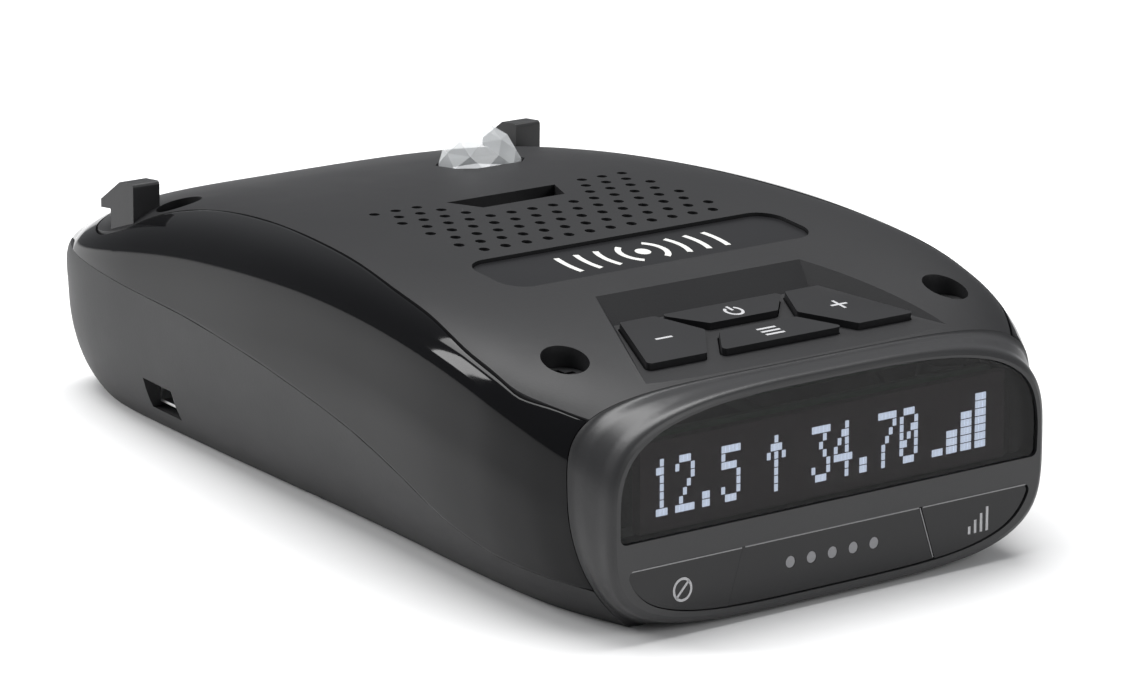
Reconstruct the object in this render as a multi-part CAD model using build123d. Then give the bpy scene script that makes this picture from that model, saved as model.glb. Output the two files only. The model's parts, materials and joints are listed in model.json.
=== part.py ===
"""A windscreen radar detector, built as separate pieces in millimetres.

X runs across the unit, Y runs from the display (low Y) to the windscreen end, Z is up.
Shapes are drawn with Y = 0 at the foot of the display face, and moved back by half the length
as they are written, so the origin is on the flat base, half way along.
"""
from build123d import *
import math
import os

# ---- overall size -------------------------------------------------------------------------
LENGTH = 122.7            # foot of the display face to the end wall
LEAN = 4.4                # degrees that the display face leans back
WALL = 1.8                # thickness of the housing shells
SPLIT = 0.05              # half of the gap between two housing shells
FLOOR = 1.8               # thickness of the flat base

# ---- housing form: (distance from the front, value) ---------------------------------------
HALF_WIDTH = [(5, 36.5), (12, 39.7), (20, 41.4), (30, 41.9), (45, 41.4), (65, 40.3), (90, 38.1), (120, 35.4)]
WIDEST_Z = [(5, 16.3), (20, 20.3), (50, 23.5), (80, 20.9), (120, 18.6)]
UPPER_SIDE_POWER = [(5, 4.3), (16, 6.8), (30, 8.9), (80, 7.1), (120, 4.0)]
UPPER_ROOF_POWER = [(5, 4.1), (16, 5.4), (30, 6.2), (80, 4.2), (120, 1.7)]
LOWER_SIDE_POWER = [(5, 3.3), (20, 4.4), (60, 4.75), (120, 5.5)]
LOWER_BELLY_POWER = [(5, 1.85), (20, 1.6), (60, 1.75), (120, 3.0)]
ROOF_Z, ROOF_S, ROOF_CURVE = 35.1, 53.8, 0.00212       # peak height, its station, fall per mm squared
BROW_DROP, BROW_S, BROW_RUN, BROW_POWER = 1.8, 35.0, 28.0, 2.2   # extra fall towards the display
TAIL_TOP = (93.7, 2.7, 22.7)       # start, power and end height of the roof's fall at the rear
TAIL_BELLY = (101.5, 3.4, 13.9)    # the same for the belly's rise
TAIL_SIDE = (98.2, 2.4, 0.82)      # the same for the sides, with the end width as a share
BELLY_Z = -5.1            # where the belly curve would bottom out, below the flat base
CROWN_SHARES = (0, 0.15, 0.3, 0.42, 0.5, 0.56, 0.61, 0.655, 0.7, 0.75, 0.81, 0.9, 1)   # points on a quarter section
STATIONS = (4, 8, 14, 22, 32, 45, 60, 76, 90, 98, 105, 111, 115.5, 118.8, 121, 122.3, LENGTH)

# ---- split lines of the housing -----------------------------------------------------------
CASE_SEAM = [(-6, 5.3), (5, 5.4), (20, 6.2), (28, 8.3), (36, 12.1), (46, 15.4), (58, 17.6), (70, 19.0),
             (85, 19.6), (100, 19.4), (130, 19.5)]
ROOF_GROOVE = [(-6, 24), (5, 32.2), (10, 36), (16, 39), (24, 39.5), (34, 38.2), (42, 37.1), (52, 35.2),
               (64, 33.3), (76, 31.6), (88, 30.8), (96, 31.9), (104, 34.6)]
ROOF_END = 117.0          # rear edge of the roof panel
GROOVE = 0.2              # half of the groove round the roof panel

# ---- display face, measured along the leaning face ----------------------------------------
FACE_HALF, FACE_MID, FACE_TOP, FACE_FOOT = 35.2, 15.0, 29.3, 0.5
FACE_POWER_TOP, FACE_POWER_FOOT = 3.3, 3.9
BEZEL_DEPTH = 5.5
RIM_FRONT = ((0.0, 0.8), (0.15, 0.45), (0.45, 0.15), (0.95, 0.0))   # depth, inset of the rounded rim
WINDOW_FOOT, WINDOW_INSET = 12.65, 1.4
STRIP_TOP, STRIP_SIDE_INSET, STRIP_FOOT_INSET = 9.35, 2.1, 1.35
FIT = 0.12                # gap round a plate that is set into the face
DIVIDER_TOP, DIVIDER_FOOT = 14.4, 16.9      # half-distance between the slanted button joints
DOT_PITCH, DOT_RADIUS, DOT_Z = 3.4, 0.73, 5.94

# ---- keys on the roof ---------------------------------------------------------------------
KEY_S, KEY_Z, KEY_SLOPE = 11.56, 30.27, math.degrees(math.atan(0.092))
KEY_PROUD = 0.92          # key tops above the scoop's floor
KEY_FRONT, KEY_BACK = 0.6, 12.9
KEY_SPLIT_LOW, KEY_SPLIT_HIGH, KEY_APEX = 5.6, 8.2, 6.8
KEY_GAP = 0.15
KEY_HEIGHT = 3.4
SCOOP_BACK, SCOOP_BACK_HALF, SCOOP_TAPER = 14.1, 15.9, 0.506

# ---- roof features ------------------------------------------------------------------------
SCREW_FRONT, SCREW_REAR = (30.8, 16.7), (29.0, 99.8)
COUNTERBORE, SCREW_HEAD, SCREW_SHANK = 3.0, 2.55, 1.2
POST_TOP = 21.4           # where the lower case's screw posts meet the roof panel's
GRILLE_PITCH, GRILLE_HOLE, GRILLE_S = 3.4, 0.7, 48.3
GRILLE_ROWS, GRILLE_WIDE = 8, 11
SLOT = ((-6.7, 63.9), (6.7, 63.9), (8.9, 68.8), (-8.9, 68.8))
BADGE_HALF, BADGE_S0, BADGE_S1, BADGE_ROUND = 25.0, 34.4, 45.0, 3.5
LENS_X, LENS_S, LENS_FOOT, LENS_TOP = 12.0, 88.5, 30.6, 37.5
POST_IN, POST_OUT = 29.8, 34.0

# ---- sides ---------------------------------------------------------------------------------
USB_S, USB_Z = 93.5, 5.4
JACK_S, JACK_Z, JACK_BORE, JACK_DEPTH = 93.5, 5.6, 1.78, 9.0

BOARD_Z, BOARD_THICK, BOARD_HALF = 7.5, 1.6, 24.0
BOARD_S0, BOARD_S1 = 14.0, 112.0
BOARD_SCREWS = ((20.5, 24.0), (20.5, 106.0))


def smooth(table, s):
    """A smooth curve through a table's stations that never overshoots them."""
    xs, ys = zip(*table)
    if s <= xs[0] or s >= xs[-1]:
        return ys[0] if s <= xs[0] else ys[-1]
    steps = [b - a for a, b in zip(xs, xs[1:])]
    slopes = [(b - a) / h for a, b, h in zip(ys, ys[1:], steps)]
    tangents = [slopes[0]]
    for h0, h1, m0, m1 in zip(steps, steps[1:], slopes, slopes[1:]):
        w0, w1 = 2 * h1 + h0, h1 + 2 * h0
        tangents.append(0.0 if m0 * m1 <= 0 else (w0 + w1) / (w0 / m0 + w1 / m1))
    tangents.append(slopes[-1])
    i = max(k for k in range(len(steps)) if xs[k] <= s)
    t, h = (s - xs[i]) / steps[i], steps[i]
    return ((1 + 2 * t) * (1 - t) ** 2 * ys[i] + t * (1 - t) ** 2 * h * tangents[i]
            + t * t * (3 - 2 * t) * ys[i + 1] - t * t * (1 - t) * h * tangents[i + 1])


def closing(s, start, power, end):
    """1 up to the start, then a rounded fall to 0 at the end."""
    t = min(max((s - start) / (end - start), 0.0), 1.0)
    return (1 - t ** power) ** (1 / power)


def section_sizes(s, inset=0.0):
    """Half-width, roof height, belly height and widest height of the housing at station s."""
    end = LENGTH - inset
    roof = ROOF_Z - ROOF_CURVE * (s - ROOF_S) ** 2
    roof -= BROW_DROP * (max(BROW_S - s, 0) / BROW_RUN) ** BROW_POWER
    roof = TAIL_TOP[2] + (roof - TAIL_TOP[2]) * closing(s, *TAIL_TOP[:2], end)
    belly = BELLY_Z + (TAIL_BELLY[2] - BELLY_Z) * (1 - closing(s, *TAIL_BELLY[:2], end))
    share = TAIL_SIDE[2] + (1 - TAIL_SIDE[2]) * closing(s, *TAIL_SIDE[:2], end)
    return smooth(HALF_WIDTH, s) * share - inset, roof - inset, belly + inset, smooth(WIDEST_Z, s)


def quarter(half, rise, side_power, rise_power, shares):
    """Points on a powered quarter ellipse, from crown to side, at the given shares of its length."""
    turns = [math.radians(k / 5) for k in range(450)] + [math.pi / 2]
    curve = [(half * math.sin(a) ** (2 / side_power), rise * math.cos(a) ** (2 / rise_power)) for a in turns[:-1]]
    curve.append((half, 0.0))
    runs = [0.0]
    for a, b in zip(curve, curve[1:]):
        runs.append(runs[-1] + math.dist(a, b))
    points = []
    for share in shares:
        k = max(i for i in range(len(runs) - 1) if runs[i] <= share * runs[-1])
        t = (share * runs[-1] - runs[k]) / (runs[k + 1] - runs[k])
        points.append([(1 - t) * a + t * b for a, b in zip(curve[k], curve[k + 1])])
    return points


def section_points(s, inset):
    """Points round one cross-section: powered ellipse quarters above and below the widest height."""
    half, roof, belly, widest = section_sizes(s, inset)
    powers = [smooth(t, s) for t in (UPPER_SIDE_POWER, UPPER_ROOF_POWER, LOWER_SIDE_POWER, LOWER_BELLY_POWER)]
    upper = quarter(half, roof - widest, *powers[:2], CROWN_SHARES)
    lower = quarter(half, widest - belly, *powers[2:], CROWN_SHARES)
    right = [(x, s, widest + z) for x, z in upper] + [(x, s, widest - z) for x, z in lower[-2::-1]]
    return right + [(-x, y, z) for x, y, z in right[-2:0:-1]]


def chord_steps(points):
    """Share of the way round a closed run of points, by straight distance, at each point."""
    lengths = [math.dist(a, b) for a, b in zip(points, points[1:] + points[:1])]
    total = sum(lengths)
    return [sum(lengths[:k]) / total for k in range(len(lengths) + 1)]


def closed_curve(points, steps):
    """A smooth closed wire whose points fall at the given shares, so that lofted rings match."""
    return Wire(Edge.make_spline([Vector(*p) for p in points], periodic=True, parameters=steps))


def housing(inset, floor):
    """The housing's solid form, drawn in from its outer skin by inset and cut flat at floor."""
    steps = chord_steps(section_points(45, inset))
    places = [s for s in STATIONS if s < LENGTH - inset - 0.2] + [LENGTH - inset]
    solid = Solid.make_loft([closed_curve(section_points(s, inset), steps) for s in places])
    return solid & Pos(0, LENGTH / 2, floor + 50) * Box(200, 200, 100)


def inside_form(x, s, z):
    """True where a point lies within the housing's outer skin."""
    half, roof, belly, widest = section_sizes(s)
    if z < 0:
        return False
    if z > widest:
        side, rise, reach = smooth(UPPER_SIDE_POWER, s), smooth(UPPER_ROOF_POWER, s), roof - widest
    else:
        side, rise, reach = smooth(LOWER_SIDE_POWER, s), smooth(LOWER_BELLY_POWER, s), widest - belly
    return (abs(x) / half) ** side + (abs(z - widest) / reach) ** rise < 1


FACE = Plane(origin=(0, 0, 0), x_dir=(1, 0, 0),
             z_dir=(0, -math.cos(math.radians(LEAN)), math.sin(math.radians(LEAN))))
KEYS = Plane(origin=(0, KEY_S, KEY_Z), x_dir=(1, 0, 0),
             z_dir=(0, -math.sin(math.radians(KEY_SLOPE)), math.cos(math.radians(KEY_SLOPE))))


def slab(sketch, near, far):
    """A sketch on the display face, made solid from one depth behind the face to another."""
    return FACE.location * Pos(0, 0, -far) * extrude(sketch, far - near)


def key_slab(sketch, low, high):
    """A sketch on the key tops' plane, made solid between two heights over that plane."""
    return KEYS.location * Pos(0, 0, low) * extrude(sketch, high - low)


def upright(sketch, low, high):
    """A plan sketch made solid between two heights."""
    return Pos(0, 0, low) * extrude(sketch, high - low)


def across(sketch, start, end):
    """A side sketch of (y, z) points made solid between two X places."""
    return Plane.YZ.location * Pos(0, 0, start) * extrude(sketch, end - start)


def polygon(points):
    return make_face(Polyline(*points, close=True))


def block(x0, x1, y0, y1, z0, z1):
    return Pos((x0 + x1) / 2, (y0 + y1) / 2, (z0 + z1) / 2) * Box(x1 - x0, y1 - y0, z1 - z0)


def rod(x, y, z0, z1, radius):
    return Pos(x, y, (z0 + z1) / 2) * Cylinder(radius, z1 - z0)


def face_reach(angle, side=0.0, top=0.0, foot=0.0):
    """Distance from the face's middle to its outline: a powered ellipse, flatter at the foot."""
    c, s = abs(math.cos(angle)), math.sin(angle)
    rise = FACE_TOP - FACE_MID - top if s > 0 else FACE_MID - FACE_FOOT - foot
    power = FACE_POWER_TOP if s > 0 else FACE_POWER_FOOT
    return 1 / ((c / (FACE_HALF - side)) ** power + (abs(s) / rise) ** power) ** (1 / power)


def skin_reach(angle, depth):
    """Distance from the face's middle to the housing's skin, in a plane behind the face."""
    lean = math.radians(LEAN)
    near, far = 5.0, 60.0
    for _ in range(40):
        r = (near + far) / 2
        x, up = r * math.cos(angle), FACE_MID + r * math.sin(angle)
        s, z = depth * math.cos(lean) + up * math.sin(lean), up * math.cos(lean) - depth * math.sin(lean)
        near, far = (r, far) if inside_form(x, s, z) else (near, r)
    return near


def ring_of(reach, count=60):
    """A closed smooth outline on the face from distances about its middle."""
    angles = [2 * math.pi * k / count for k in range(count)]
    return [(reach(a) * math.cos(a), FACE_MID + reach(a) * math.sin(a)) for a in angles]


def even_ring(outline, count=72):
    """Points evenly spread by length along a closed run of points, starting from its first."""
    steps = chord_steps(outline)
    points = []
    for share in [k / count for k in range(count)]:
        k = max(i for i in range(len(outline)) if steps[i] <= share)
        t = (share - steps[k]) / (steps[k + 1] - steps[k])
        points.append([(1 - t) * a + t * b for a, b in zip(outline[k], outline[(k + 1) % len(outline)])])
    return points


def face_sketch(side, top, foot):
    return make_face(Spline(*ring_of(lambda a: face_reach(a, side, top, foot)), periodic=True))


def window_sketch(gap=0.0):
    sketch = face_sketch(WINDOW_INSET + gap, WINDOW_INSET - 0.3 + gap, 0)
    sketch &= Pos(0, WINDOW_FOOT + gap + 25) * Rectangle(100, 50)
    return fillet(sketch.vertices().sort_by(Axis.Y)[:2], 1.0)


def strip_sketch(gap=0.0):
    sketch = face_sketch(STRIP_SIDE_INSET + gap, 0, STRIP_FOOT_INSET + gap)
    sketch &= Pos(0, STRIP_TOP - gap - 25) * Rectangle(100, 50)
    return fillet(sketch.vertices().sort_by(Axis.Y)[-2:], 0.9)


def divider_line(gap):
    """The middle third of the lower strip, between the two slanted joints."""
    foot, top = -2.0, 12.0
    lean = (DIVIDER_FOOT - DIVIDER_TOP) / (STRIP_TOP - 1.85)
    low, high = DIVIDER_TOP + lean * (STRIP_TOP - foot) + gap, DIVIDER_TOP + lean * (STRIP_TOP - top) + gap
    return polygon([(-low, foot), (low, foot), (high, top), (-high, top)])


def dots(radius):
    return [Pos(DOT_PITCH * k, DOT_Z) * Circle(radius) for k in range(-2, 3)]


def bezel():
    """The frame round the display: a rounded rim that flares back to meet the housing."""
    rings = []
    steps = [k / 72 for k in range(73)]
    for depth, inset in RIM_FRONT + ((2.5, 0.0), (4.0, 0.0), (BEZEL_DEPTH, 0.0), (BEZEL_DEPTH + 1.5, 0.0)):
        share = (depth / BEZEL_DEPTH) ** 1.5

        def reach(a):
            front = face_reach(a, inset, inset, inset)
            return front + share * (skin_reach(a, BEZEL_DEPTH) - face_reach(a))
        places = [(FACE.location * Pos(x, z, -depth)).position for x, z in even_ring(ring_of(reach, 360))]
        rings.append(closed_curve(places, steps))
    body = Solid.make_loft(rings) & slab(Pos(0, FACE_MID) * Rectangle(100, 60), -1, BEZEL_DEPTH)
    hollow = face_sketch(WINDOW_INSET - 0.4, WINDOW_INSET - 0.7, STRIP_FOOT_INSET - 0.35)
    body -= slab(window_sketch(), -1, BEZEL_DEPTH + 1)
    body -= slab(strip_sketch(), -1, BEZEL_DEPTH + 1)
    return body - slab(hollow, 3.0, BEZEL_DEPTH + 1)


def front_button(side):
    """A front button: its plate, and a shallower block with a catch behind the bar above it."""
    third = strip_sketch(FIT) - divider_line(FIT / 2)
    plate = third & Pos(side * 30, 5) * Rectangle(60, 40)
    button = slab(plate, 0.25, 2.3)
    button += slab(Pos(side * 22, 6.3) * Rectangle(8.4, 4.4), 2.3, 3.9)
    return button + slab(Pos(side * 22, 9.3) * Rectangle(8.4, 1.8), 3.3, 3.9)


def key_outlines(grow):
    """The four keys seen from above, in the key plane, each grown outwards by the same amount."""
    volume = [(16.1, KEY_BACK), (10.6, KEY_BACK), (7.5, KEY_APEX), (12.3, KEY_FRONT), (21.6, KEY_FRONT)]
    shapes = {
        "volume_up_key": volume,
        "volume_down_key": [(-x, y) for x, y in volume],
        "power_key": [(-10.0, KEY_BACK), (10.0, KEY_BACK), (5.5, KEY_SPLIT_HIGH), (-5.5, KEY_SPLIT_HIGH)],
        "menu_key": [(-6.2, KEY_SPLIT_LOW), (6.2, KEY_SPLIT_LOW), (9.9, KEY_FRONT), (-9.9, KEY_FRONT)],
    }
    sketches = {}
    for name, points in shapes.items():
        sketch = fillet(polygon(points).vertices(), 0.5)
        sketches[name] = offset(sketch, grow) if grow else sketch
    return sketches


def flat_sided(low, high):
    """A solid with flat sides between two matching rings of corners."""
    sides = [low, high] + [[low[k - 1], low[k], high[k], high[k - 1]] for k in range(len(low))]
    return Solid(Shell([Face(Wire.make_polygon(ring, close=True)) for ring in sides]))


def scoop(grow):
    """The hollow round the keys: a sloping floor with three walls that lean outwards."""
    rings = []
    for height in (-grow, 5.0 - grow):
        spread = 0.85 * height + grow * 1.3
        back = SCOOP_BACK + 1.19 * height + grow * 1.5
        front = -9.0

        def half(v):
            return SCOOP_BACK_HALF + spread + SCOOP_TAPER * (SCOOP_BACK - v)
        corners = [(half(back), back), (-half(back), back), (-half(front), front), (half(front), front)]
        lift = KEYS.location * Pos(0, 0, height - KEY_PROUD)
        rings.append([(lift * Pos(x, y, 0)).position for x, y in corners])
    return flat_sided(*rings)


def roof_plan(gap):
    """Plan outline of the roof panel, inside the groove by gap."""
    side = [(smooth(ROOF_GROOVE, s) - gap, s) for s in (-2, 2, 5, 8, 12, 16, 20, 24, 29, 34, 42, 52, 64, 76, 84, 92,
                                                        98, 104)]
    corner = [(34.3 - gap, 109.0), (32.5 - gap, 113.6), (28.5, ROOF_END - 0.6 - gap), (24.0, ROOF_END - gap)]
    right = Spline(*side, *corner)
    back = Line(corner[-1], (-corner[-1][0], corner[-1][1]))
    left = Spline(*[(-x, y) for x, y in corner[::-1]], *[(-x, y) for x, y in side[::-1]])
    front = Line((-side[0][0], side[0][1]), side[0])
    return make_face([right, back, left, front])


def below_seam(shift):
    """Everything under the curved seam between the lower case and the shells above it."""
    places = (-6, 5, 12, 20, 24, 28, 32, 36, 41, 46, 52, 58, 64, 70, 77, 85, 100, 130)
    seam = Polyline(*[(s, smooth(CASE_SEAM, s) + shift) for s in places])
    first, last = CASE_SEAM[0], CASE_SEAM[-1]
    frame = Polyline((first[0], first[1] + shift), (first[0], -20), (last[0], -20), (last[0], last[1] + shift))
    return across(make_face([seam, frame]), -70, 70)


def grille_points():
    """Hexagonal field of sound holes, left out where the bracket slot comes through."""
    rows = []
    for j in range(GRILLE_ROWS):
        s = GRILLE_S + j * GRILLE_PITCH * math.sqrt(3) / 2
        first = -GRILLE_WIDE - j % 2
        blocked = {5: 4, 6: 5, 7: 6}.get(j, -1)
        rows += [(GRILLE_PITCH / 2 * i, s) for i in range(first, -first + 1, 2) if abs(i) > blocked]
    return rows


def badge_plan(gap):
    return Pos(0, (BADGE_S0 + BADGE_S1) / 2) * RectangleRounded(
        2 * (BADGE_HALF - gap), BADGE_S1 - BADGE_S0 - 2 * gap, BADGE_ROUND - gap)


def lens_ring(half_x, half_y, cut):
    """An oblong with its corners cut off."""
    a, b = half_x, half_y
    return [(a, b - cut), (a - cut, b), (cut - a, b), (-a, b - cut), (-a, cut - b), (cut - a, -b), (a - cut, -b),
            (a, cut - b)]


def lens_layer(half_x, half_y, cut, z, slip=(0, 0)):
    return [(LENS_X + slip[0] + x, LENS_S + slip[1] + y, z) for x, y in lens_ring(half_x, half_y, cut)]


def case_screw(x, y, head_z):
    """A pan-head screw with a cross recess."""
    screw = rod(x, y, head_z, head_z + 1.7, SCREW_HEAD) + rod(x, y, 6.0, head_z, SCREW_SHANK)
    for width, depth in ((3.2, 0.7), (0.7, 3.2)):
        screw -= block(x - width / 2, x + width / 2, y - depth / 2, y + depth / 2, head_z + 0.8, head_z + 3)
    return screw


def windscreen_post(side):
    """A rubber block with a hooked tail, standing on the roof's rear corner."""
    profile = polygon([(102.8, 24), (103.3, 31.9), (106.4, 31.5), (110.6, 28.2), (110.5, 27.1), (108.3, 27.4),
                       (108.0, 24)])
    body = across(profile, *sorted((side * POST_IN, side * POST_OUT)))
    return fillet(body.edges().filter_by(Axis.X).group_by(Axis.Z)[-1], 0.5)


def ribbon(points, radius, thick, half):
    """A flat cable bent through a few (y, z) points."""
    return across(trace(FilletPolyline(*points, radius=radius), thick), -half, half)


parts = {}

outer = housing(0.0, 0.0)
inner = housing(WALL, FLOOR)
behind_bezel = slab(Pos(0, 20) * Rectangle(300, 300), BEZEL_DEPTH + SPLIT, 200)
counterbores = [(side * x, y, z) for x, y, z in ((*SCREW_FRONT, 27.6), (*SCREW_REAR, 26.2)) for side in (-1, 1)]
tubes = [rod(x, y, POST_TOP + 0.4, 40, 3.7) for x, y, _ in counterbores]
roof_solids = [scoop(1.3)] + tubes
skin = (outer - (inner - roof_solids)) & behind_bezel

# ---- lower case: belly, low sides, screw posts and board bosses -----------------------------
case = skin & below_seam(-SPLIT)
posts = [rod(x, y, 1, POST_TOP, 2.5 if y > 60 else 3.0) for x, y, _ in counterbores]
bosses = [rod(side * x, y, 1, BOARD_Z, 2.6) for x, y in BOARD_SCREWS for side in (-1, 1)]
case += (posts[0] + posts[1:] + bosses) & housing(WALL / 2, FLOOR / 2)
cutters = [rod(x, y, 5.5, 25, SCREW_SHANK + 0.05) for x, y, _ in counterbores]
cutters += [rod(side * x, y, 2.5, 10, 0.95) for x, y in BOARD_SCREWS for side in (-1, 1)]
cutters.append(block(-45, -25, USB_S - 3.4, USB_S + 3.4, USB_Z - 2.15, USB_Z + 2.15))
cutters.append(Pos(35, JACK_S, JACK_Z) * Rot(0, 90, 0) * Cylinder(3.05, 30))
cutters.append(block(-17, 17, 78, 100, -1, 0.3))
parts["lower_case"] = case - cutters
parts["base_label"] = block(-16.8, 16.8, 78.2, 99.8, 0.1, 0.3)

# ---- upper shell: the glossy sides and tail round the roof panel -----------------------------
plan_out = upright(roof_plan(-GROOVE), 21.5, 60)
above = skin - below_seam(SPLIT)
parts["upper_shell"] = above - plan_out

# ---- roof panel ------------------------------------------------------------------------------
plan_in = upright(roof_plan(GROOVE), 21.7, 60)
roof = (above & plan_in) - scoop(0.0)
roof -= [rod(x, y, seat, 45, COUNTERBORE) + rod(x, y, 10, seat, SCREW_SHANK + 0.08) for x, y, seat in counterbores]
roof -= upright(badge_plan(0), 20, 50) - housing(1.0, 0)
cutters = [key_slab(outline, -6, 3) for outline in key_outlines(KEY_GAP).values()]
cutters.append(upright(polygon(SLOT), 25, 50))
cutters.append(upright(Pos(LENS_X, LENS_S) * polygon(lens_ring(5.85, 4.35, 2.1)), 25, 50))
cutters += [rod(side * (POST_IN + POST_OUT) / 2, 105.4, 20, 40, 1.45) for side in (-1, 1)]
roof -= cutters
parts["top_panel"] = roof - [rod(x, s, 28, 45, GRILLE_HOLE) for x, s in grille_points()]

badge = upright(badge_plan(0.15), 25, 50) & housing(0.45, 0)
parts["badge_plate"] = badge - housing(1.0, 0)

# ---- keys and what they press ----------------------------------------------------------------
for name, outline in key_outlines(0).items():
    parts[name] = key_slab(outline, -KEY_HEIGHT, 0)
web = polygon([(-19.5, 14.4), (19.5, 14.4), (22.6, -0.6), (-22.6, -0.6)])
parts["key_membrane"] = key_slab(web, -KEY_HEIGHT - 1.2, -KEY_HEIGHT - 0.6)
parts["key_board"] = key_slab(web, -KEY_HEIGHT - 3.1, -KEY_HEIGHT - 2.1)
centres = ((-14.5, 6.8), (14.5, 6.8), (0, 10.4), (0, 3.1))
switches = [key_slab(Pos(*c) * Rectangle(3.6, 3.6), -KEY_HEIGHT - 2.1, -KEY_HEIGHT - 1.4) for c in centres]
parts["key_switches"] = switches[0] + switches[1:]

# ---- display face ----------------------------------------------------------------------------
parts["front_bezel"] = bezel()
parts["display_window"] = slab(window_sketch(FIT), 0.35, 1.45)
parts["oled_panel"] = slab(Pos(0, 18.5) * Rectangle(59, 11.2), 1.64, 3.1)
parts["display_board"] = slab(Pos(0, 18.6) * RectangleRounded(57, 12.4, 0.8), 3.1, 4.1)
strip = strip_sketch(FIT) & divider_line(-FIT / 2)
strip_body = slab(strip, 0.35, 2.2)
for dot in dots(DOT_RADIUS + 0.03):
    strip_body -= slab(dot, -1, 5)
parts["indicator_strip"] = strip_body
lenses = [slab(dot, 0.4, 3.6) for dot in dots(DOT_RADIUS)]
parts["indicator_lenses"] = lenses[0] + lenses[1:]
parts["mute_button"] = front_button(-1)
parts["city_button"] = front_button(1)
parts["front_button_board"] = slab(Pos(0, 6.6) * Rectangle(56, 5.6), 5.7, 6.7)
pads = [slab(Pos(side * 22, 6.3) * Rectangle(3.4, 3.4), 4.6, 5.7) for side in (-1, 1)]
parts["front_switches"] = pads[0] + pads[1:]
parts["display_flex"] = ribbon([(6.6, 14.5), (9.6, 14.4), (12.0, 11.5), (12.6, 9.3), (17.0, 9.22)], 0.8, 0.2, 9)

# ---- boards, antenna and sound ---------------------------------------------------------------
board_top = BOARD_Z + BOARD_THICK
plate = Pos(0, (BOARD_S0 + BOARD_S1) / 2) * RectangleRounded(2 * BOARD_HALF, BOARD_S1 - BOARD_S0, 2)
plate += Pos(0, USB_S) * Rectangle(64, 7.0)
screw_places = [(side * x, y) for x, y in BOARD_SCREWS for side in (-1, 1)]
plate -= [Pos(x, y) * Circle(1.2) for x, y in screw_places]
parts["main_board"] = upright(plate, BOARD_Z, board_top)
screws = [rod(x, y, 3.0, board_top, 0.9) + rod(x, y, board_top, board_top + 1.2, 1.9) for x, y in screw_places]
parts["board_screws"] = screws[0] + screws[1:]
parts["processor"] = block(6, 18, 36, 48, board_top, board_top + 1.1)
can = block(-15, 15, 60, 83, board_top, board_top + 4.2) - block(-14.6, 14.6, 60.4, 82.6, board_top, board_top + 3.8)
parts["rf_shield"] = can
horn = Solid.make_loft([Plane(origin=(0, y, 16), x_dir=(1, 0, 0), z_dir=(0, 1, 0)) .location
                        * Wire.make_rect(w, h) for y, w, h in ((87, 13, 8), (116, 34, 13.4))], ruled=True)
hollow = Solid.make_loft([Plane(origin=(0, y, 16), x_dir=(1, 0, 0), z_dir=(0, 1, 0)).location
                          * Wire.make_rect(w, h) for y, w, h in ((88.2, 11.2, 6.2), (116.1, 32, 11.4))], ruled=True)
parts["horn_antenna"] = horn - hollow
speaker_s, speaker_top = 49.6, 31.6
frame = rod(0, speaker_s, speaker_top - 1.2, speaker_top, 10.5) + rod(0, speaker_s, speaker_top - 4, speaker_top, 9)
parts["speaker_frame"] = frame - rod(0, speaker_s, speaker_top - 3.2, speaker_top + 1, 8.2)
cone = Pos(0, speaker_s, speaker_top - 1.7) * Cone(4.0, 8.0, 2.2)
parts["speaker_cone"] = cone - Pos(0, speaker_s, speaker_top - 1.3) * Cone(3.8, 7.8, 2.2)
parts["speaker_magnet"] = rod(0, speaker_s, speaker_top - 7.0, speaker_top - 4.0, 5.5)

# ---- roof fittings -----------------------------------------------------------------------------
tray = block(-11, 11, 61.2, 71.5, 30.2, 50) & inner
parts["bracket_guide"] = tray - upright(polygon(SLOT), 31.4, 50)
parts["bracket_spring"] = block(-5.5, 5.5, 64.5, 68.2, 31.4, 31.8)
cloth = upright(Pos(0, 58.4) * Rectangle(46, 24.6), 25, 50) & inner
cloth -= housing(WALL + 0.3, FLOOR)
parts["grille_cloth"] = cloth - block(-11.2, 11.2, 61, 75, 20, 50)
layers = [lens_layer(5.7, 4.2, 2.1, LENS_FOOT), lens_layer(5.7, 4.2, 2.1, 33.2)]
crown = [layers[-1], lens_layer(2.7, 2.0, 0.9, LENS_TOP, (-0.8, 0.4))]
parts["laser_lens"] = flat_sided(*layers) + flat_sided(*crown)
sensor = block(10, 14, 86.5, 90.5, board_top, 27) + block(8.5, 15.5, 85.5, 91.5, 27, 29.6)
parts["laser_sensor"] = sensor
for name, side in (("left_windscreen_post", -1), ("right_windscreen_post", 1)):
    stem = rod(side * (POST_IN + POST_OUT) / 2, 105.4, 24.5, 29.5, 1.4)
    parts[name] = (windscreen_post(side) - outer) + stem
screws = [case_screw(x, y, z) for x, y, z in counterbores]
parts["case_screws"] = screws[0] + screws[1:]

# ---- sockets -----------------------------------------------------------------------------------
usb = block(-33.2, -27.8, USB_S - 3.3, USB_S + 3.3, USB_Z - 1.5, BOARD_Z)
usb -= block(-34, -28.8, USB_S - 2.95, USB_S + 2.95, USB_Z - 1.15, USB_Z + 1.15)
parts["usb_connector"] = usb + block(-32.6, -28.6, USB_S - 2.4, USB_S + 2.4, USB_Z + 0.1, USB_Z + 0.6)
jack = block(23.5, 30.4, JACK_S - 3.2, JACK_S + 3.2, 2.4, BOARD_Z)
jack += Pos(32.4, JACK_S, JACK_Z) * Rot(0, 90, 0) * Cylinder(2.95, 4.0) & block(20, 50, 80, 110, 0, BOARD_Z)
jack -= Pos(34.4 - JACK_DEPTH / 2, JACK_S, JACK_Z) * Rot(0, 90, 0) * Cylinder(JACK_BORE, JACK_DEPTH)
parts["power_jack"] = jack

os.makedirs("parts", exist_ok=True)
for name, shape in parts.items():
    export_step(Pos(0, -LENGTH / 2, 0) * shape, f"parts/{name}.step")
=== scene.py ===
import json

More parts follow.
